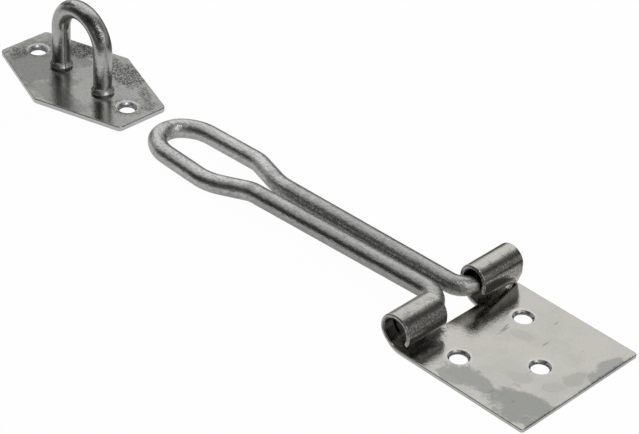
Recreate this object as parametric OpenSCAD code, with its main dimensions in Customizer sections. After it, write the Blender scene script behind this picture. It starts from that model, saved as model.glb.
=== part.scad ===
// Wire hasp: a hinge plate rolled into two knuckles, a bent wire arm that turns in them,
// and a separate staple plate with a riveted staple.
// The origin lies on the hinge plate's back face, midway between the hinge axis and the back edge.
// +Z points away from the mounting surface, the knuckles lie along Y, the arm reaches towards -X.
// The knuckle at -Y is called the near one and the knuckle at +Y the far one.

/* [Hinge plate] */
// Width of the hinge plate along its knuckles
plate_w = 57; // [52:0.5:80]
// Distance from the hinge axis to the back edge of the plate
plate_reach = 55; // [48:0.5:100]
// Thickness of the sheet that plate and knuckles are made of
sheet_t = 1.5; // [1:0.1:2]
// Radius of the plate's two back corners
plate_corner_r = 1.2; // [0.6:0.1:6]
// Distance from the hinge axis to the edge of the sheet between the knuckles
slot_setback = 3.2; // [2.9:0.1:3.5]
// Rounding of the blanked edges of both plates
blank_edge_r = 0.4; // [0.1:0.05:0.45]

/* [Knuckles] */
// Width of the near knuckle
near_knuckle_w = 18.3; // [14:0.1:19]
// Width of the far knuckle
far_knuckle_w = 19.3; // [14:0.1:20]
// Middle radius of the bend that lifts the sheet off the mounting surface
lift_r = 8; // [6:0.5:10]
// Turn of that bend
lift_turn = 41; // [36:1:46]
// Clear height under the wire's journals, above the plate's face
journal_lift = 2.8; // [2.2:0.1:4]
// Slack round the journal in the near knuckle, on the radius
near_slack = 1.2; // [1.2:0.1:1.6]
// Slack round the journal under the far knuckle's roof, on the radius
far_slack = 0.5; // [0.4:0.05:0.7]
// Distance by which the rolled sheet's centre lies behind the journals
roll_setback = 0.55; // [0.4:0.05:0.7]
// Distance by which the rolled sheet's centre lies above the journals
roll_rise = 0.15; // [0:0.05:0.5]
// Straight rise of the far knuckle's wall before its roof
far_wall_rise = 1.4; // [0:0.1:3]
// Straight stretch of the near knuckle's sheet, below its roof
near_tail = 1.1; // [0.5:0.1:2]
// Middle radius of the bend that tucks the near knuckle's end in
near_tuck_r = 3; // [2:0.5:6]
// Turn of that bend
near_tuck_turn = 35; // [10:1:40]
// Straight stretch of the far knuckle's sheet, below its roof
far_tail = 2.4; // [1.5:0.1:2.8]
// Middle radius of the bend that tucks the far knuckle's end in
far_tuck_r = 4; // [2:0.5:6]
// Turn of that bend
far_tuck_turn = 18; // [5:1:25]
// Gap between the plate and the far knuckle's end at its outer corner
tail_gap_outer = 0.45; // [0.4:0.05:2]
// Gap between the plate and the far knuckle's end at its inner corner
tail_gap_inner = 4.9; // [2:0.1:5.5]

/* [Screw holes] */
// Diameter of the hinge plate's screw holes
screw_d = 6.2; // [4:0.1:7]
// Diameter of their countersunk rim
screw_rim_d = 7.5; // [7.1:0.1:8.5]
// Distance between the two front screw holes
front_pitch = 31.5; // [24:0.5:36]
// Distance from the back edge to the two front screw holes
front_inset = 37.35; // [30:0.05:40]
// Distance from the back edge to the single rear screw hole
rear_inset = 16.7; // [8:0.1:24]
// Diameter of the shallow dish that the punch leaves round each hole
screw_dish_d = 9.6; // [8.6:0.1:11]
// Depth of that dish
screw_dish_depth = 0.08; // [0.02:0.01:0.2]
// Offset of the three holes from the middle of the plate
hole_offset = -0.4; // [-2:0.1:2]

/* [Wire arm] */
// Diameter of the wire
wire_d = 7; // [6:0.1:7.5]
// Length of the arm, from the hinge axis to the middle of the wire at the loop's tip
arm_len = 138.1; // [125:0.05:200]
// Clear width of the loop at its shoulders
loop_gap = 13.25; // [12:0.05:15]
// Length of the loop's straight near side
near_loop_run = 17.5; // [5:0.1:30]
// Length of the loop's straight far side
far_loop_run = 22.6; // [5:0.1:30]
// Angle by which the loop's near side spreads towards the neck
near_loop_spread = 4.7; // [0:0.1:6]
// Middle radius of the bends at the shoulders of the loop's tip
shoulder_r = 15; // [14:0.5:18]
// Slope at which the shoulders meet the tip
shoulder_turn = 43; // [36:0.5:44]
// Slope of the near neck, where the leg spreads into the loop
near_neck_turn = 25.3; // [20:0.1:32]
// Slope of the far neck
far_neck_turn = 18.5; // [16:0.1:30]
// Middle radius of the near neck's bend at the leg
near_neck_in_r = 8.2; // [7:0.1:14]
// Middle radius of the far neck's bend at the leg
far_neck_in_r = 24.5; // [7:0.5:26]
// Middle radius of the near neck's bend at the loop
near_neck_out_r = 19.7; // [7:0.1:22]
// Middle radius of the far neck's bend at the loop
far_neck_out_r = 12.6; // [7:0.1:16]
// Clear gap between the two legs at the neck
leg_gap_neck = 2.8; // [2.4:0.1:4]
// Clear gap between the two legs at the hinge axis
leg_gap_hinge = 1; // [0.6:0.1:1.5]
// Middle radius of the bend from the near leg into its journal
near_eye_r = 9.2; // [5:0.1:9.2]
// Middle radius of the bend from the far leg into its journal
far_eye_r = 5.6; // [5:0.1:5.8]
// Angle by which the arm stands askew to the hinge, loop towards the near side
arm_skew = 0.7; // [0:0.1:1]
// Offset of the arm's centre line towards the far side, at the hinge axis
arm_shift = 0.6; // [0:0.1:0.8]
// Depth of the wire's end inside the near knuckle
near_recess = 5; // [1:0.5:8]
// Depth of the wire's end inside the far knuckle
far_recess = 2; // [1:0.5:8]

/* [Staple plate] */
// Length of the staple plate between its two short edges
staple_plate_l = 69.4; // [60:0.1:90]
// Width of the staple plate across its two middle corners
staple_plate_w = 44.8; // [36:0.1:60]
// Length of the short edges, between the sharp corners
staple_plate_end = 21.7; // [16:0.1:30]
// Thickness of the staple plate
staple_plate_t = 2; // [1.8:0.1:3]
// Radius of its six corners
staple_plate_corner_r = 2; // [1:0.1:4]
// Distance between its two screw holes
staple_screw_pitch = 51.8; // [46:0.1:56]
// Diameter of its screw holes
staple_screw_d = 6; // [4:0.1:6.5]
// Diameter of their countersunk rim
staple_screw_rim_d = 7.4; // [6.6:0.1:8.5]
// Diameter of the shallow dish round each hole
staple_dish_d = 9; // [8.6:0.1:11]
// Depth of that dish
staple_dish_depth = 0.15; // [0.02:0.01:0.3]
// Gap between the loop's tip and the staple plate, as laid out
layout_gap = 10.2; // [5:0.1:40]
// Offset of the staple plate towards the far side, as laid out
layout_offset = 1.55; // [-3:0.05:3]
// Turn of the staple plate, as laid out
layout_turn = -1.3; // [-3:0.1:3]

/* [Staple] */
// Diameter of the staple's wire
staple_wire_d = 7; // [5:0.1:8]
// Distance between the middles of the staple's legs
staple_pitch = 24; // [20:0.5:28]
// Height of the staple above its plate
staple_h = 31.8; // [26:0.1:45]
// Diameter of the swaged collar at each foot
collar_d = 8.6; // [8.1:0.1:9]
// Height of the collar's widest ring above the plate
collar_h = 0.9; // [0.6:0.1:2]
// Height of the flare from that ring up to the wire
collar_flare_h = 2.2; // [1:0.1:3]
// Diameter of the collar where it stands on the plate
foot_d = 7.8; // [6.4:0.1:8]
// Diameter of each tenon in its hole
tenon_d = 5.56; // [4:0.02:6]
// Diameter of the riveted head on the back
rivet_d = 7.5; // [6.5:0.1:8.5]
// Clearance round tenon and head, on the radius
rivet_fit = 0.02; // [0.01:0.01:0.1]

/* [Hidden] */
$fn = 64;
slack = 1;            // overshoot of a cutter past the faces that it cuts
rest_gap = 0.02;      // height of the loop's underside above the mounting surface at rest
hairline = 0.01;      // gap between two swept pieces
core_len = 0.12;      // length of the core that bridges it
core_scale = 0.995;   // size of the core's section, as a share of the swept section
flare_steps = 5;      // rings of the staple's flared collars

// Hinge axis
hinge_x = -plate_reach / 2;
hinge_z = sheet_t + journal_lift + wire_d / 2;

// Rolled sheet, all radii to its middle
near_roll_r = wire_d / 2 + near_slack + sheet_t / 2;
far_roof_r = wire_d / 2 + far_slack + sheet_t / 2;
lift_height =
    hinge_z + roll_rise - sheet_t / 2 - lift_r * (1 - cos(lift_turn)) - near_roll_r * cos(lift_turn);
lift_run = lift_height / sin(lift_turn);
roll_start = roll_setback + (lift_r - near_roll_r) * sin(lift_turn) + lift_run * cos(lift_turn);
near_knuckle_y = -(plate_w - near_knuckle_w) / 2;
far_knuckle_y = (plate_w - far_knuckle_w) / 2;
slot_near_y = near_knuckle_y + near_knuckle_w / 2;
slot_far_y = far_knuckle_y - far_knuckle_w / 2;
far_roof_z = hinge_z + roll_rise + far_wall_rise;
far_flap_x = roll_setback - near_roll_r + 2 * far_roof_r;
tuck_z = far_roof_z - far_tail - far_tuck_r * sin(far_tuck_turn);
tuck_run = (tuck_z - sheet_t - tail_gap_outer) / cos(far_tuck_turn) + sheet_t / 2 * tan(far_tuck_turn);
tail_slope = (tail_gap_inner - tail_gap_outer) / far_knuckle_w;

// Wire arm, in its own plane. Lists hold the near side first and the far side second.
side_sign = [-1, 1];
eye_r = [near_eye_r, far_eye_r];
neck_turn = [near_neck_turn, far_neck_turn];
neck_in_r = [near_neck_in_r, far_neck_in_r];
neck_out_r = [near_neck_out_r, far_neck_out_r];
loop_run = [near_loop_run, far_loop_run];
loop_spread = [near_loop_spread, 0];
loop_side = (loop_gap + wire_d) / 2;
neck_side = (leg_gap_neck + wire_d) / 2;
hinge_side = (leg_gap_hinge + wire_d) / 2;
tip_r = (loop_side - shoulder_r * (1 - cos(shoulder_turn))) / cos(shoulder_turn);
tip_len = shoulder_r * sin(shoulder_turn) + tip_r * (1 - sin(shoulder_turn));
rest_turn = asin((hinge_z - wire_d / 2 - rest_gap) / arm_len);

// Staple plate, as laid out
staple_x = hinge_x - arm_len - wire_d / 2 - layout_gap - staple_plate_l / 2;
slope_angle = atan2(staple_plate_l, staple_plate_w - staple_plate_end);
slope_distance = staple_plate_w / 2 * sin(slope_angle);
staple_arch_r = staple_pitch / 2;
staple_leg_h = staple_h - staple_wire_d / 2 - staple_arch_r;

// Where one side's loop ends and its neck begins: distance from the hinge axis, and from the centre line
function neck_top_x(k) =
    arm_len - tip_len + shoulder_r * sin(loop_spread[k]) - loop_run[k] * cos(loop_spread[k]);
function neck_top_y(k) =
    loop_side - shoulder_r * (1 - cos(loop_spread[k])) + loop_run[k] * sin(loop_spread[k]);

// Straight stretch of one neck, and the distance from the hinge axis to where that neck leaves its leg
function neck_run(k) =
    let (out_drop = neck_out_r[k] * (cos(loop_spread[k]) - cos(neck_turn[k])))
    let (in_drop = neck_in_r[k] * (1 - cos(neck_turn[k])))
    (neck_top_y(k) - out_drop - in_drop - neck_side) / sin(neck_turn[k]);
function neck_start(k) =
    neck_top_x(k) - neck_out_r[k] * (sin(loop_spread[k]) + sin(neck_turn[k]))
    - neck_run(k) * cos(neck_turn[k]) - neck_in_r[k] * sin(neck_turn[k]);

// Angle of one leg to the centre line, and to the plane across the hinge
function leg_taper(k) = atan((neck_side - hinge_side) / neck_start(k));
function splay(k) = side_sign[k] * arm_skew - leg_taper(k);

// Length of one leg, and the distance along the hinge from the middle to where its journal starts
function leg_len(k) =
    let (x = neck_start(k) * cos(arm_skew) + side_sign[k] * neck_side * sin(arm_skew))
    (x - eye_r[k] * (1 - sin(splay(k)))) / cos(splay(k));
function journal_start(k) =
    let (y = arm_shift - neck_start(k) * sin(arm_skew) + side_sign[k] * neck_side * cos(arm_skew))
    side_sign[k] * y + leg_len(k) * sin(splay(k)) + eye_r[k] * cos(splay(k));

// Runs and bends of one side, from the eye to the tip
function side_steps(k) = [
    [leg_len(k), 0],
    [neck_in_r[k], neck_turn[k] - leg_taper(k)],
    [neck_run(k), 0],
    [neck_out_r[k], -neck_turn[k] - loop_spread[k]],
    [loop_run[k], 0],
    [shoulder_r, loop_spread[k] - shoulder_turn]
];
function reversed(list) = [for (i = [len(list) - 1 : -1 : 0]) list[i]];

// Sweeps a flat section along straight runs [length, 0] and bends [radius, turn], left turns positive.
// The pieces stand a hairline apart and a core runs across each hairline, so their ends never coincide.
module follow(steps, k = 0) {
    if (k < len(steps)) {
        size = steps[k][0];
        turn = steps[k][1];
        if (k > 0) core() children();
        if (turn == 0) {
            translate([hairline / 2, 0, 0]) rotate([90, 0, 90]) linear_extrude(size - hairline) children();
            translate([size, 0, 0]) follow(steps, k + 1) children();
        } else {
            hand = sign(turn);
            trim = hairline / size * 180 / PI;
            translate([0, hand * size, 0]) rotate([0, 0, -90 * hand]) {
                rotate([0, 0, min(turn, 0) + trim / 2]) rotate_extrude(angle = abs(turn) - trim)
                    translate([size, 0]) children();
                rotate([0, 0, turn]) translate([size, 0, 0]) rotate([0, 0, 90 * hand])
                    follow(steps, k + 1) children();
            }
        }
    }
}

// Short core of a swept section, a trace slimmer than the section itself
module core() {
    rotate([90, 0, 90]) linear_extrude(core_len, center = true) scale(core_scale) children();
}

// Section of a sheet with rounded edges
module sheet_section(t, w) {
    e = blank_edge_r;
    square([t - 2 * e, w], center = true);
    square([t, w - 2 * e], center = true);
    for (x = [-1, 1], y = [-1, 1])
        translate([x * (t / 2 - e), y * (w / 2 - e)]) circle(e);
}

// Outer half of that section, standing on the sheet's back, from a corner's middle to the edge
module rim_section(t, r) {
    intersection() {
        translate([0, t / 2]) rotate(90) sheet_section(t, 2 * r);
        translate([0, -slack]) square([r + slack, t + 2 * slack]);
    }
}

// Blanked sheet with rounded corners and edges: a plain middle, a rim along each side and a turn of
// the rim round each corner. centres are the middles of the corners' roundings, counter-clockwise.
module blank(centres, r, t) {
    count = len(centres);
    along = [for (k = [0 : count - 1]) centres[(k + 1) % count] - centres[k]];
    heading = [for (v = along) atan2(v[1], v[0])];
    out = [for (a = heading) [sin(a), -cos(a)]];
    linear_extrude(t) polygon([
        for (k = [0 : count - 1])
            let (last = out[(k + count - 1) % count], turn = 1 + last * out[k])
            centres[k] + r / 2 * (last + out[k]) / turn
    ]);
    for (k = [0 : count - 1]) {
        last = heading[(k + count - 1) % count];
        translate(centres[k]) rotate(last - 90)
            rotate_extrude(angle = (heading[k] - last + 360) % 360) rim_section(t, r);
        translate(centres[(k + 1) % count]) rotate(heading[k] - 90) rotate([90, 0, 0])
            translate([0, 0, hairline / 2]) linear_extrude(norm(along[k]) - hairline) rim_section(t, r);
        for (end = [centres[k], centres[(k + 1) % count]])
            translate(end) rotate(heading[k] - 90) rotate([90, 0, 0])
                linear_extrude(core_len, center = true)
                translate([r / 2, t / 2]) scale(core_scale) translate([-r / 2, -t / 2]) rim_section(t, r);
    }
}

// Countersunk screw hole through a sheet, in a shallow dish on the face
module screw_hole(d, rim, dish, dish_depth, t) {
    sink = (rim - d) / 2;
    face = t - dish_depth;
    translate([0, 0, -slack]) cylinder(d = d, h = t + 2 * slack);
    translate([0, 0, face - sink]) cylinder(d1 = d, d2 = rim, h = sink);
    translate([0, 0, face]) cylinder(d1 = rim, d2 = dish, h = dish_depth);
    translate([0, 0, t]) cylinder(d = dish, h = slack);
}

// Flat part of the hinge plate, up to where the knuckles leave it
module plate_flat() {
    back = plate_reach + hinge_x - plate_corner_r;
    side = plate_w / 2 - plate_corner_r;
    front = hinge_x + roll_start;
    difference() {
        blank([[front, -side], [back, -side], [back, side], [front, side]], plate_corner_r, sheet_t);
        translate([front - plate_w, -plate_w, -slack]) cube([plate_w, 2 * plate_w, sheet_t + 2 * slack]);
    }
    translate([hinge_x + slot_setback, slot_near_y, 0])
        cube([roll_start - slot_setback + slack, slot_far_y - slot_near_y, sheet_t]);
}

// A knuckle's sheet, from the flat up and over the journal
module knuckle(y, w, steps) {
    translate([hinge_x + roll_start, y, sheet_t / 2]) rotate([90, 0, 180]) {
        core() sheet_section(sheet_t, w);
        follow(concat([[lift_r, lift_turn], [lift_run, 0]], steps)) sheet_section(sheet_t, w);
    }
}

// Free end of the far knuckle's sheet: down behind the journal, tucked in and cut on a slope
module far_end_flap() {
    difference() {
        translate([hinge_x + far_flap_x, far_knuckle_y, far_roof_z]) rotate([90, 90, 180]) {
            core() sheet_section(sheet_t, far_knuckle_w);
            follow([[far_tail, 0], [far_tuck_r, far_tuck_turn], [tuck_run, 0]])
                sheet_section(sheet_t, far_knuckle_w);
        }
        translate([hinge_x, slot_far_y, 0]) rotate([90, 0, 90]) linear_extrude(far_flap_x + sheet_t)
            polygon([
                [-slack, 0],
                [far_knuckle_w + slack, 0],
                [far_knuckle_w + slack, sheet_t + tail_gap_outer - tail_slope * slack],
                [-slack, sheet_t + tail_gap_inner + tail_slope * slack]
            ]);
    }
}

module hinge_plate() {
    color([0.70, 0.69, 0.67]) difference() {
        union() {
            plate_flat();
            knuckle(near_knuckle_y, near_knuckle_w, [
                [near_roll_r, 270 - lift_turn],
                [near_tail, 0],
                [near_tuck_r, near_tuck_turn]
            ]);
            knuckle(far_knuckle_y, far_knuckle_w, [
                [near_roll_r, 90 - lift_turn],
                [far_wall_rise, 0],
                [far_roof_r, 180]
            ]);
            far_end_flap();
        }
        for (place = [[front_inset, -front_pitch / 2], [front_inset, front_pitch / 2], [rear_inset, 0]])
            translate([plate_reach + hinge_x - place[0], hole_offset + place[1], 0])
                screw_hole(screw_d, screw_rim_d, screw_dish_d, screw_dish_depth, sheet_t);
    }
}

module wire_arm() {
    near_end = plate_w / 2 - near_recess;
    far_end = plate_w / 2 - far_recess;
    color([0.62, 0.62, 0.60])
        translate([hinge_x, 0, hinge_z]) rotate([0, -rest_turn, 0])
        translate([0, -near_end, 0]) rotate([0, 0, 90])
        follow(concat(
            [[near_end - journal_start(0), 0], [near_eye_r, 90 - splay(0)]],
            side_steps(0),
            [[tip_r, 2 * shoulder_turn - 180]],
            reversed(side_steps(1)),
            [[far_eye_r, 90 - splay(1)], [far_end - journal_start(1), 0]]
        )) circle(d = wire_d);
}

// Where two edges of the staple plate's outline cross, once both are moved in by the corner radius.
// An edge is given by the direction of its normal and its distance from the middle.
function crossing(a, b) =
    let (da = a[1] - staple_plate_corner_r, db = b[1] - staple_plate_corner_r)
    [da * sin(b[0]) - db * sin(a[0]), db * cos(a[0]) - da * cos(b[0])] / sin(b[0] - a[0]);

module staple_plate() {
    half = staple_plate_l / 2;
    edges = [
        [0, half],
        [slope_angle, slope_distance],
        [180 - slope_angle, slope_distance],
        [180, half],
        [180 + slope_angle, slope_distance],
        [360 - slope_angle, slope_distance]
    ];
    centres = [for (k = [0 : 5]) crossing(edges[k], edges[(k + 1) % 6])];
    color([0.58, 0.58, 0.56]) place_staple() difference() {
        blank(centres, staple_plate_corner_r, staple_plate_t);
        for (side = [-1, 1]) {
            translate([side * staple_screw_pitch / 2, 0, 0]) screw_hole(
                staple_screw_d, staple_screw_rim_d, staple_dish_d, staple_dish_depth, staple_plate_t
            );
            translate([side * staple_pitch / 2, 0, 0]) {
                rivet(rivet_fit, staple_plate_t + slack);
                translate([0, 0, -slack]) cylinder(r = rivet_d / 2 + rivet_fit, h = slack);
            }
        }
    }
}

// Tenon and countersunk head of one staple leg, or with a clearance the hole that takes them
module rivet(fit, top) {
    r = tenon_d / 2 + fit;
    head_r = rivet_d / 2 + fit;
    cylinder(r = r, h = top);
    cylinder(r1 = head_r, r2 = r, h = head_r - r);
}

// Diameter of the collar's flare at a share of its height
function flare_d(share) = staple_wire_d + (collar_d - staple_wire_d) * (1 - sin(90 * share));

// Swaged collar where a leg stands on the plate
module collar() {
    ring = collar_flare_h / flare_steps;
    cylinder(d1 = foot_d, d2 = collar_d, h = collar_h);
    for (k = [0 : flare_steps - 1])
        translate([0, 0, collar_h + k * ring])
            cylinder(d1 = flare_d(k / flare_steps), d2 = flare_d((k + 1) / flare_steps), h = ring);
}

module staple() {
    color([0.60, 0.60, 0.58]) place_staple() {
        for (side = [-1, 1]) translate([side * staple_pitch / 2, 0, 0]) {
            rivet(0, staple_plate_t + collar_h / 2);
            translate([0, 0, staple_plate_t]) collar();
        }
        translate([-staple_pitch / 2, 0, staple_plate_t + collar_h]) rotate([90, 0, 0]) rotate([0, 0, 90])
            follow([
                [staple_leg_h - collar_h, 0],
                [staple_arch_r, -180],
                [staple_leg_h - collar_h, 0]
            ]) circle(d = staple_wire_d);
    }
}

module place_staple() {
    translate([staple_x, layout_offset, 0]) rotate([0, 0, layout_turn]) children();
}

hinge_plate();
wire_arm();
staple_plate();
staple();
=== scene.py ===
"""Looks of the wire hasp: zinc-plated sheet and wire on a white studio floor."""

import math

import bpy
from mathutils import Matrix, Vector


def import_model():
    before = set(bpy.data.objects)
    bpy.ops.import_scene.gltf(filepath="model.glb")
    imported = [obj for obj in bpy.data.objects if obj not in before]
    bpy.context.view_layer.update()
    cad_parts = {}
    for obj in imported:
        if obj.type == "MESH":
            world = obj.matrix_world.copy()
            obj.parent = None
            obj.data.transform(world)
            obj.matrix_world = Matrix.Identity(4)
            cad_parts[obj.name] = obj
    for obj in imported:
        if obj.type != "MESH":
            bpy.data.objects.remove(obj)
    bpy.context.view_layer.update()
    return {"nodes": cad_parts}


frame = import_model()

MM = 0.001

# Camera, in millimetres and degrees round a target on the mounting surface
IMAGE_W = 639
FOCAL_PX = 2372.7
SENSOR_MM = 36
CAMERA_AZIMUTH = 42.665
CAMERA_ELEVATION = 35.037
CAMERA_ROLL = 3.652
CAMERA_DISTANCE = 814.6
CAMERA_TARGET = (-98.6, 0, 0)
SLIDE_RIGHT = 7.292
SLIDE_UP = 0.978

# Nearest and furthest distance that the camera draws, in metres
CLIP_START = 0.05
CLIP_END = 20

# Floor, in metres. The camera sees it white. Metal mirrors a strip along X light, which is full within the
# first of the half widths and ends at the second, and the rest dark.
FLOOR_SIZE = 6.0
FLOOR_X = -100 * MM
FLOOR_DROP = 0.05 * MM
FLOOR_GREY = 0.86
WHITE_SEEN = 0.98
WHITE_MIRRORED = 0.3
DARK_MIRRORED = 0.85
LIT_HALF_WIDTH = (32 * MM, 60 * MM)

# Softbox, a square lamp that faces the camera's target, in degrees, metres and watts
LAMP_AZIMUTH = 60
LAMP_ELEVATION = 62
LAMP_DISTANCE = 1.5
LAMP_SIDE = 0.3
LAMP_POWER = 1.1

# Light from round the object. Each patch of the studio: azimuth, elevation, the angles from its middle
# within which it is full and beyond which it ends, and its level.
STUDIO_LEVEL = 0.42
STUDIO = [
    (140, 18, 34, 56, 0.38),
    (140, 40, 8, 18, 0.12),
    (232, 40, 30, 48, 1.15),
    (290, 58, 12, 26, 0.8),
    (326, 8, 22, 31, 0.04),
    (214, 0, 12, 24, 0.12),
    (345, 30, 16, 26, 0.08),
    (8, 30, 18, 28, 0.08),
    (85, 30, 12, 24, 1.6),
]

# Texture of the zinc, in noise features per metre
FINE_SCALE = 1900
GRIT_SCALE = 1400
RIPPLE_SCALE = 420
CLOUD_SCALE = 70
SCRATCH_SCALE = 800
SCRATCH_AREA_SCALE = 60

# Share of the scratches' scale that is kept along Y, which draws them out
SCRATCH_STRETCH = 0.1

# Stretch of a noise over which each effect sets in, and the stretch that a noise fills
CLOUD_BAND = (0.40, 0.64)
SPECKLE_BAND = (0.46, 0.62)
DARK_AND_SHADE_SPECK_BAND = (0.44, 0.53)
SCRATCH_BAND = (0.66, 0.71)
SCRATCH_AREA_BAND = (0.50, 0.58)
NOISE_BAND = (0.3, 0.7)

# Surface of the zinc: the spread of its roughness, the roughness that dark patches and painted shade add, the
# least share of these between their specks, the share of the grit in the bumps, and how many times higher the
# bumps are there
ROUGHNESS_SPREAD = 0.05
DARK_AND_SHADE_ROUGHNESS = 0.15
DARK_AND_SHADE_LEAST = 0.1
GRIT_SHARE = 0.7
DARK_AND_SHADE_BUMPS = 3

# Edges of the marks: how far noise moves them, as a share of the half size, the size of that noise in
# millimetres, and their softness, as a share of the half size
DULL_PATCH_EDGE = (0.35, 6, 0.22)
DARK_AND_SHADE_EDGE = (0.3, 2.5, 0.35)
HIGHLIGHT_EDGE = (0.1, 1, 0.12)
CRISP_SHADE_EDGE = (0.04, 1, 0.03)

# Marks: middle and half sizes in millimetres, turn about Z in degrees, depth from 0 to 1.
# FAR stands for a half size that sets no limit.
FAR = 1e5

# Hinge plate: darker patches on its front; painted shade in the bends under the knuckles and on the knuckles'
# side towards the plate, and darker lines along the back edge; painted highlights on its cut edges and hole
# rims; and painted shade inside the knuckles and holes
SHEET_DULL_PATCHES = [
    ((18.5, -19.5, 1.5), (10.5, 7.5, FAR), 0, 1.0),
    ((0, -21.5, 1.5), (9, 4.5, FAR), 8, 0.9),
    ((-5, -25, 1.5), (6, 3, FAR), 0, 0.8),
    ((26.7, 14, 1.5), (3.5, 8, FAR), 0, 0.8),
    ((22, 2.5, 1.5), (3, 5, FAR), 0, 0.5),
    ((10.2, -9, 1.5), (5, 3, FAR), 20, 0.35),
    ((-3, 7.7, 1.5), (5, 2.5, FAR), 20, 0.3),
    ((20, -5, 1.5), (5, 2.5, FAR), 60, 0.35),
]
SHEET_PAINTED_SHADE_AND_EDGE_LINES = [
    ((-21.5, -19, 1), (3.5, 9, 2.5), 12, 0.9),
    ((-24, 11, 1), (2, 5, 2.5), 0, 0.9),
    ((-23.5, 0, 10), (4.2, FAR, 4.5), 0, 0.6),
    ((27.4, 12, 1.5), (0.7, 14, FAR), 0, 0.7),
    ((27.4, -16, 1.5), (0.5, 12, FAR), 0, 0.5),
]
SHEET_PAINTED_HIGHLIGHTS = [
    ((0, 0, 0.5), (FAR, FAR, 0.8), 0, 0.8),
    ((-10.1, -15.9, 1.5), (4.4, 4.4, 0.6), 0, 0.5),
    ((-10.1, 15.6, 1.5), (4.4, 4.4, 0.6), 0, 0.5),
    ((10.5, -0.1, 1.5), (4.4, 4.4, 0.6), 0, 0.5),
]
SHEET_PAINTED_SHADE_INSIDE = [
    ((-27.5, -45, 7.8), (5.1, 60, 5.1), 0, 0.75),
    ((-27.5, 30, 7.8), (4.3, 60, 4.3), 0, 0.7),
    ((-9.85, -16.15, 0.8), (3.2, 3.2, FAR), 0, 0.8),
    ((-9.85, 15.35, 0.8), (3.2, 3.2, FAR), 0, 0.8),
    ((10.8, -0.4, 0.8), (3.2, 3.2, FAR), 0, 0.8),
]

# Wire arm: duller over its legs than at its loop, and painted shade between the legs
WIRE_DULL_LEGS = [
    ((-55, 0, 3.5), (58, FAR, FAR), 0, 0.9),
]
WIRE_PAINTED_SHADE = [
    ((-92, 0.1, 6), (90, 2, FAR), 0.7, 0.4),
]

# Staple plate: stains at its -X end and along its -Y side, dark patches on its +Y side and at both ends,
# painted shade round the holes and painted reflections of the staple's legs in two streaks before them,
# painted highlights on its edges and hole rims, and painted shade in the holes
STAPLE_PLATE_STAINS = [
    ((-232, 0, 2), (15, 22, FAR), 0, 0.9),
    ((-212, -14, 2), (16, 5, FAR), 0, 0.6),
]
STAPLE_PLATE_DARK_PATCHES_AND_PAINTED_SHADE = [
    ((-229, 14, 2), (6, 5.5, FAR), 0, 1.0),
    ((-217, 17, 2), (9, 3.5, FAR), 0, 0.8),
    ((-204.6, 15, 2), (8, 6, FAR), -20, 0.85),
    ((-190, 11, 2), (6, 2, FAR), -30, 0.7),
    ((-183, 7, 2), (2.5, 4, FAR), 0, 0.6),
    ((-243, -4, 2), (4, 5, FAR), 0, 0.7),
    ((-188.1, 0.96, 2), (5.3, 5.3, FAR), 0, 0.6),
    ((-239.9, 2.14, 2), (5.3, 5.3, FAR), 0, 0.6),
    ((-219.6, -7.1, 2), (9.5, 1.9, FAR), -40, 0.35),
    ((-197.1, -6.7, 2), (6, 1.8, FAR), -40, 0.4),
]
STAPLE_PLATE_PAINTED_HIGHLIGHTS = [
    ((-188.5, 1.4, 2), (4.3, 4.3, 0.7), 0, 0.6),
    ((-240.3, 2.6, 2), (4.3, 4.3, 0.7), 0, 0.6),
    ((0, 0, 0.7), (FAR, FAR, 1.05), 0, 0.9),
]
STAPLE_PLATE_PAINTED_HOLE_SHADE = [
    ((-188.1, 0.96, 2), (3.1, 3.1, FAR), 0, 0.7),
    ((-239.9, 2.14, 2), (3.1, 3.1, FAR), 0, 0.7),
]

# Staple: painted shade at one foot and on the inner side of the other leg, and a painted dark reflection
# along the top of its arch
STAPLE_PAINTED_SHADE_AND_REFLECTION = [
    ((-228.5, 0.5, 5), (3.5, 4, 6), 0, 0.8),
    ((-205.5, -0.5, 9), (2.5, 4, 12), 0, 0.8),
    ((-223, 1.2, 29), (3.5, 1.1, 2.2), 0, 0.9),
    ((-216, -0.2, 31.2), (5.5, 1.1, 2), 0, 1.0),
    ((-207.5, -0.5, 30), (5, 1.1, 2.6), 0, 1.0),
    ((-202.6, -0.6, 26), (2.6, 1.1, 4.2), 0, 1.0),
]
STAPLE_PAINTED_REFLECTION = [
    ((-223, 1.0, 29), (3.5, 0.8, 2.2), 0, 0.6),
    ((-216, -0.3, 31.2), (5.5, 0.8, 2), 0, 0.7),
    ((-207.5, -0.6, 30), (5, 0.8, 2.6), 0, 0.7),
    ((-202.6, -0.7, 26), (2.6, 0.7, 3.6), 0, 0.6),
]

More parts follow.
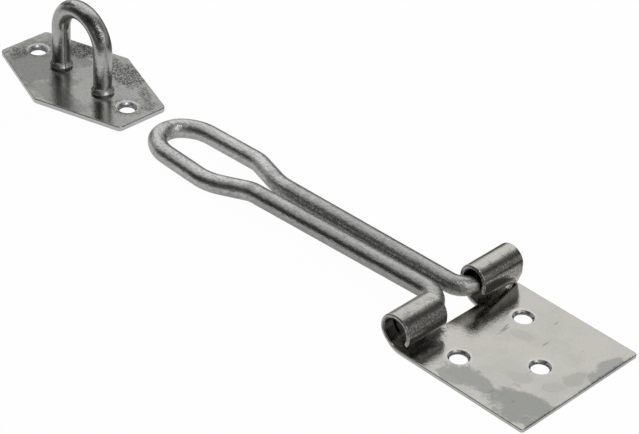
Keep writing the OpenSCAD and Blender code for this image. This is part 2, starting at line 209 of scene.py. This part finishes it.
# Finish of each CAD node, as the arguments of zinc()
FINISHES = {
    "hinge_plate": {
        "name": "zinc_sheet",
        "bright": (0.60, 0.587, 0.542), "dull": (0.355, 0.362, 0.338), "dark": 0.06, "light": 0.72,
        "roughness": (0.09, 0.2), "grain": 0.04 * MM, "clouds": 0.2, "speckle": 0.08, "scratches": 0.5,
        "dull_patches": SHEET_DULL_PATCHES, "dark_patches_and_painted_shade": SHEET_PAINTED_SHADE_AND_EDGE_LINES, "painted_highlights": SHEET_PAINTED_HIGHLIGHTS, "crisp_painted_shade": SHEET_PAINTED_SHADE_INSIDE,
    },
    "wire_arm": {
        "name": "zinc_wire",
        "bright": (0.70, 0.70, 0.69), "dull": (0.47, 0.468, 0.455), "dark": 0.10, "light": 0.8,
        "roughness": (0.12, 0.19), "grain": 0.16 * MM, "clouds": 0.35, "speckle": 0.35, "streak": 0.5,
        "dull_patches": WIRE_DULL_LEGS, "dark_patches_and_painted_shade": WIRE_PAINTED_SHADE,
    },
    "staple_plate": {
        "name": "zinc_staple_plate",
        "bright": (0.405, 0.407, 0.385), "dull": (0.25, 0.252, 0.238), "dark": 0.03, "light": 0.75,
        "roughness": (0.15, 0.22), "grain": 0.04 * MM, "clouds": 0.2, "speckle": 0.25,
        "dull_patches": STAPLE_PLATE_STAINS, "dark_patches_and_painted_shade": STAPLE_PLATE_DARK_PATCHES_AND_PAINTED_SHADE, "painted_highlights": STAPLE_PLATE_PAINTED_HIGHLIGHTS,
        "crisp_painted_shade": STAPLE_PLATE_PAINTED_HOLE_SHADE,
    },
    "staple": {
        "name": "zinc_staple_wire",
        "bright": (0.64, 0.637, 0.62), "dull": (0.50, 0.497, 0.48), "dark": 0.06, "light": 0.8,
        "roughness": (0.15, 0.24), "grain": 0.08 * MM, "clouds": 0.5, "speckle": 0.25,
        "dark_patches_and_painted_shade": STAPLE_PAINTED_SHADE_AND_REFLECTION, "crisp_painted_shade": STAPLE_PAINTED_REFLECTION,
    },
}


def direction(azimuth, elevation):
    """Unit vector towards a compass point; azimuth 0 is -Y and 90 is +X, as for the camera's place."""
    azimuth, elevation = math.radians(azimuth), math.radians(elevation)
    level = math.cos(elevation)
    return Vector((math.sin(azimuth) * level, -math.cos(azimuth) * level, math.sin(elevation)))


def grey(level):
    """Colour without a tint."""
    return (level, level, level, 1)


def make_camera():
    """Camera at the photograph's place, turned about its own axis and slid across it."""
    back = direction(CAMERA_AZIMUTH, CAMERA_ELEVATION)
    level_right = Vector((0, 0, 1)).cross(back).normalized()
    level_up = back.cross(level_right)
    roll = Matrix.Rotation(math.radians(CAMERA_ROLL), 3, back)
    right, up = roll @ level_right, roll @ level_up
    data = bpy.data.cameras.new("camera")
    data.sensor_width = SENSOR_MM
    data.lens = FOCAL_PX / IMAGE_W * SENSOR_MM
    data.clip_start, data.clip_end = CLIP_START, CLIP_END
    camera = bpy.data.objects.new("camera", data)
    place = Vector(CAMERA_TARGET) + right * SLIDE_RIGHT + up * SLIDE_UP + back * CAMERA_DISTANCE
    turn = Matrix((right, up, back)).transposed().to_4x4()
    camera.matrix_world = Matrix.Translation(place * MM) @ turn
    bpy.context.scene.collection.objects.link(camera)
    bpy.context.scene.camera = camera


class Nodes:
    """Short way to add shader nodes and link them."""

    def __init__(self, tree):
        self.tree = tree
        tree.nodes.clear()

    def add(self, kind, inputs=None, **settings):
        """Node of one kind; each input, by name or number, takes a value or a link from a socket."""
        node = self.tree.nodes.new(kind)
        for name, value in settings.items():
            setattr(node, name, value)
        for name, value in (inputs or {}).items():
            if isinstance(value, bpy.types.NodeSocket):
                self.tree.links.new(value, node.inputs[name])
            else:
                node.inputs[name].default_value = value
        return node

    def calculate(self, operation, a, b):
        """Result of one of the Math node's operations."""
        return self.add("ShaderNodeMath", {0: a, 1: b}, operation=operation).outputs[0]

    def plus(self, a, b):
        return self.calculate("ADD", a, b)

    def times(self, a, b):
        return self.calculate("MULTIPLY", a, b)

    def larger(self, a, b):
        return self.calculate("MAXIMUM", a, b)

    def mix(self, factor, a, b):
        """Blend of two colours."""
        return self.add("ShaderNodeMix", {0: factor, 6: a, 7: b}, data_type="RGBA").outputs[2]

    def mix_value(self, factor, a, b):
        """Blend of two numbers."""
        return self.add("ShaderNodeMix", {0: factor, 2: a, 3: b}, data_type="FLOAT").outputs[0]

    def mix_shader(self, factor, a, b):
        """Blend of two shaders."""
        return self.add("ShaderNodeMixShader", {0: factor, 1: a, 2: b}).outputs[0]

    def band(self, value, low, high, to_low=0.0, to_high=1.0):
        """Smooth step from to_low to to_high while the value goes from low to high."""
        node = self.add("ShaderNodeMapRange", {
            "Value": value, "From Min": low, "From Max": high, "To Min": to_low, "To Max": to_high,
        }, interpolation_type="SMOOTHSTEP")
        return node.outputs["Result"]

    def stretch(self, place, factors):
        """Place scaled along each axis."""
        return self.add("ShaderNodeMapping", {"Vector": place, "Scale": factors}).outputs["Vector"]

    def noise(self, place, scale, detail=3.0, roughness=0.55, distortion=0.0):
        """Noise with scale features per metre, mostly between the ends of NOISE_BAND."""
        node = self.add("ShaderNodeTexNoise", {
            "Vector": place, "Scale": scale, "Detail": detail, "Roughness": roughness,
            "Distortion": distortion,
        })
        return node.outputs["Fac"]

    def sway(self, noise, reach):
        """Noise turned into a shift of up to reach either way."""
        return self.band(noise, *NOISE_BAND, -reach, reach)

    def marks(self, place, marks, ragged, size, soft):
        """Share that the marks cover; ragged, size and soft describe their edges, as DULL_PATCH_EDGE does."""
        sway = self.sway(self.noise(place, 1 / (size * MM), detail=4, roughness=0.6), ragged)
        share = 0.0
        for middle, halves, turn, depth in marks:
            local = self.add("ShaderNodeMapping", {
                "Vector": place,
                "Location": [value * MM for value in middle],
                "Scale": [value * MM for value in halves],
                "Rotation": (0, 0, math.radians(turn)),
            }, vector_type="TEXTURE").outputs["Vector"]
            distance = self.add("ShaderNodeVectorMath", {0: local}, operation="LENGTH").outputs["Value"]
            cover = self.band(self.plus(distance, sway), 1 + soft, 1 - soft, 0.0, depth)
            share = self.larger(share, cover)
        return share


def node_material(name):
    """New material, and its nodes."""
    material = bpy.data.materials.new(name)
    material.use_nodes = True
    return material, Nodes(material.node_tree)


def scratch_share(nodes, place, depth):
    """Share of fine scratches along Y, in patches."""
    drawn_out = nodes.stretch(place, (1, SCRATCH_STRETCH, 1))
    lines = nodes.band(nodes.noise(drawn_out, SCRATCH_SCALE, detail=2, roughness=0.5), *SCRATCH_BAND)
    area = nodes.band(nodes.noise(place, SCRATCH_AREA_SCALE, detail=2), *SCRATCH_AREA_BAND)
    return nodes.times(lines, nodes.times(area, depth))


def zinc(name, bright, dull, dark, light, roughness, grain, clouds, speckle, scratches=0.0, streak=1.0,
         dull_patches=(), dark_patches_and_painted_shade=(), painted_highlights=(), crisp_painted_shade=()):
    """Zinc plate in layers: dull patches, speckles, scratches, dark patches, painted shade and painted
    highlights, over fine bumps.

    bright and dull are its colours where it is clean and in dull patches. dark is its grey in specks,
    scratches, dark patches and painted shade, and light is the grey of its painted highlights. roughness is
    its clean and its dull roughness, and grain the height of its bumps in metres. clouds, speckle and
    scratches are the depth of each. streak is the share of the texture's scale that is kept along X.
    dull_patches, dark_patches_and_painted_shade, painted_highlights and crisp_painted_shade are its marks.
    """
    material, nodes = node_material(name)
    place = nodes.add("ShaderNodeTexCoord").outputs["Object"]
    along = nodes.stretch(place, (streak, 1, 1))
    fine = nodes.noise(along, FINE_SCALE, detail=4, roughness=0.7)
    grit = nodes.noise(along, GRIT_SCALE, detail=5, roughness=0.75)
    ripple = nodes.noise(along, RIPPLE_SCALE)
    cloud = nodes.noise(place, CLOUD_SCALE, detail=4, roughness=0.6, distortion=0.4)

    cloudy = nodes.times(nodes.band(cloud, *CLOUD_BAND), clouds)
    dulled = nodes.larger(nodes.marks(place, dull_patches, *DULL_PATCH_EDGE), cloudy)
    speckled = nodes.times(nodes.band(grit, *SPECKLE_BAND), speckle)
    scratched = scratch_share(nodes, place, scratches)
    # Dark patches, painted shade and painted dark reflections, broken up into specks by the grit
    specks = nodes.band(grit, *DARK_AND_SHADE_SPECK_BAND, DARK_AND_SHADE_LEAST, 1.0)
    dark_and_shade_share = nodes.times(nodes.marks(place, dark_patches_and_painted_shade, *DARK_AND_SHADE_EDGE), specks)
    # Painted highlights on cut edges and hole rims
    painted_highlight_share = nodes.marks(place, painted_highlights, *HIGHLIGHT_EDGE)
    # Crisp painted shade in the holes and knuckles, and a crisp painted dark reflection on the staple's arch
    crisp_shade_share = nodes.marks(place, crisp_painted_shade, *CRISP_SHADE_EDGE)

    colour = nodes.mix(dulled, (*bright, 1), (*dull, 1))
    for share, level in ((speckled, dark), (scratched, dark), (dark_and_shade_share, dark), (painted_highlight_share, light), (crisp_shade_share, dark)):
        colour = nodes.mix(share, colour, grey(level))
    rough = nodes.plus(nodes.band(dulled, 0, 1, *roughness), nodes.sway(fine, ROUGHNESS_SPREAD))
    rough = nodes.plus(rough, nodes.times(dark_and_shade_share, DARK_AND_SHADE_ROUGHNESS))
    bump = nodes.add("ShaderNodeBump", {
        "Height": nodes.plus(nodes.times(grit, GRIT_SHARE), ripple),
        "Distance": nodes.mix_value(dark_and_shade_share, grain, grain * DARK_AND_SHADE_BUMPS),
        "Strength": 1.0,
    })
    shader = nodes.add("ShaderNodeBsdfPrincipled", {
        "Base Color": colour, "Metallic": 1.0, "Roughness": rough, "Normal": bump.outputs["Normal"],
    })
    nodes.add("ShaderNodeOutputMaterial", {"Surface": shader.outputs[0]})
    return material


def dress(node, material):
    """Give a CAD node its material instead of the plain one."""
    piece = frame["nodes"][node]
    piece.data.materials.clear()
    piece.data.materials.append(material)


def stage():
    """White floor that keeps the object's shadow and shows the metal a light strip between dark sides."""
    bpy.ops.mesh.primitive_plane_add(size=FLOOR_SIZE, location=(FLOOR_X, 0, -FLOOR_DROP))
    floor = bpy.context.object
    floor.name = "floor"
    material, nodes = node_material("floor")
    diffuse = nodes.add("ShaderNodeBsdfDiffuse", {"Color": grey(FLOOR_GREY)}).outputs[0]
    white = nodes.add("ShaderNodeEmission", {"Color": grey(1.0), "Strength": 1.0}).outputs[0]
    black = nodes.add("ShaderNodeEmission", {"Color": grey(0.0), "Strength": 0.0}).outputs[0]
    path = nodes.add("ShaderNodeLightPath").outputs
    seen = nodes.larger(path["Is Camera Ray"], path["Is Transmission Ray"])
    mirrored = path["Is Glossy Ray"]
    place = nodes.add("ShaderNodeTexCoord").outputs["Object"]
    across = nodes.add("ShaderNodeSeparateXYZ", {"Vector": place}).outputs["Y"]
    outside = nodes.band(nodes.calculate("ABSOLUTE", across, 0), *LIT_HALF_WIDTH)
    light_share = nodes.plus(nodes.times(seen, WHITE_SEEN), nodes.times(mirrored, WHITE_MIRRORED))
    dark_share = nodes.times(nodes.times(mirrored, outside), DARK_MIRRORED)
    lit = nodes.mix_shader(light_share, diffuse, white)
    nodes.add("ShaderNodeOutputMaterial", {"Surface": nodes.mix_shader(dark_share, lit, black)})
    floor.data.materials.append(material)


def world():
    """Studio round the object: soft patches of light and dark gaps between them, white to the camera."""
    studio = bpy.data.worlds.new("studio")
    bpy.context.scene.world = studio
    studio.use_nodes = True
    nodes = Nodes(studio.node_tree)
    towards = nodes.add("ShaderNodeTexCoord").outputs["Generated"]
    level = STUDIO_LEVEL
    for azimuth, elevation, inner, outer, patch_level in STUDIO:
        aim = direction(azimuth, elevation)
        facing = nodes.add("ShaderNodeVectorMath", {0: towards, 1: aim}, operation="DOT_PRODUCT")
        edge, full = math.cos(math.radians(outer)), math.cos(math.radians(inner))
        level = nodes.mix_value(nodes.band(facing.outputs["Value"], edge, full), level, patch_level)
    around = nodes.add("ShaderNodeBackground", {"Strength": level}).outputs[0]
    white = nodes.add("ShaderNodeBackground", {"Color": grey(1.0), "Strength": 1.0}).outputs[0]
    seen = nodes.add("ShaderNodeLightPath").outputs["Is Camera Ray"]
    nodes.add("ShaderNodeOutputWorld", {"Surface": nodes.mix_shader(seen, around, white)})


def softbox():
    """Square area lamp that faces the camera's target."""
    data = bpy.data.lights.new("softbox", "AREA")
    data.shape = "SQUARE"
    data.size = LAMP_SIDE
    data.energy = LAMP_POWER
    lamp = bpy.data.objects.new("softbox", data)
    back = direction(LAMP_AZIMUTH, LAMP_ELEVATION)
    lamp.location = Vector(CAMERA_TARGET) * MM + back * LAMP_DISTANCE
    lamp.rotation_mode = "QUATERNION"
    lamp.rotation_quaternion = back.to_track_quat("Z", "Y")
    bpy.context.scene.collection.objects.link(lamp)


bpy.context.scene.view_settings.view_transform = "Standard"
make_camera()
stage()
world()
softbox()

for node, finish in FINISHES.items():
    dress(node, zinc(**finish))
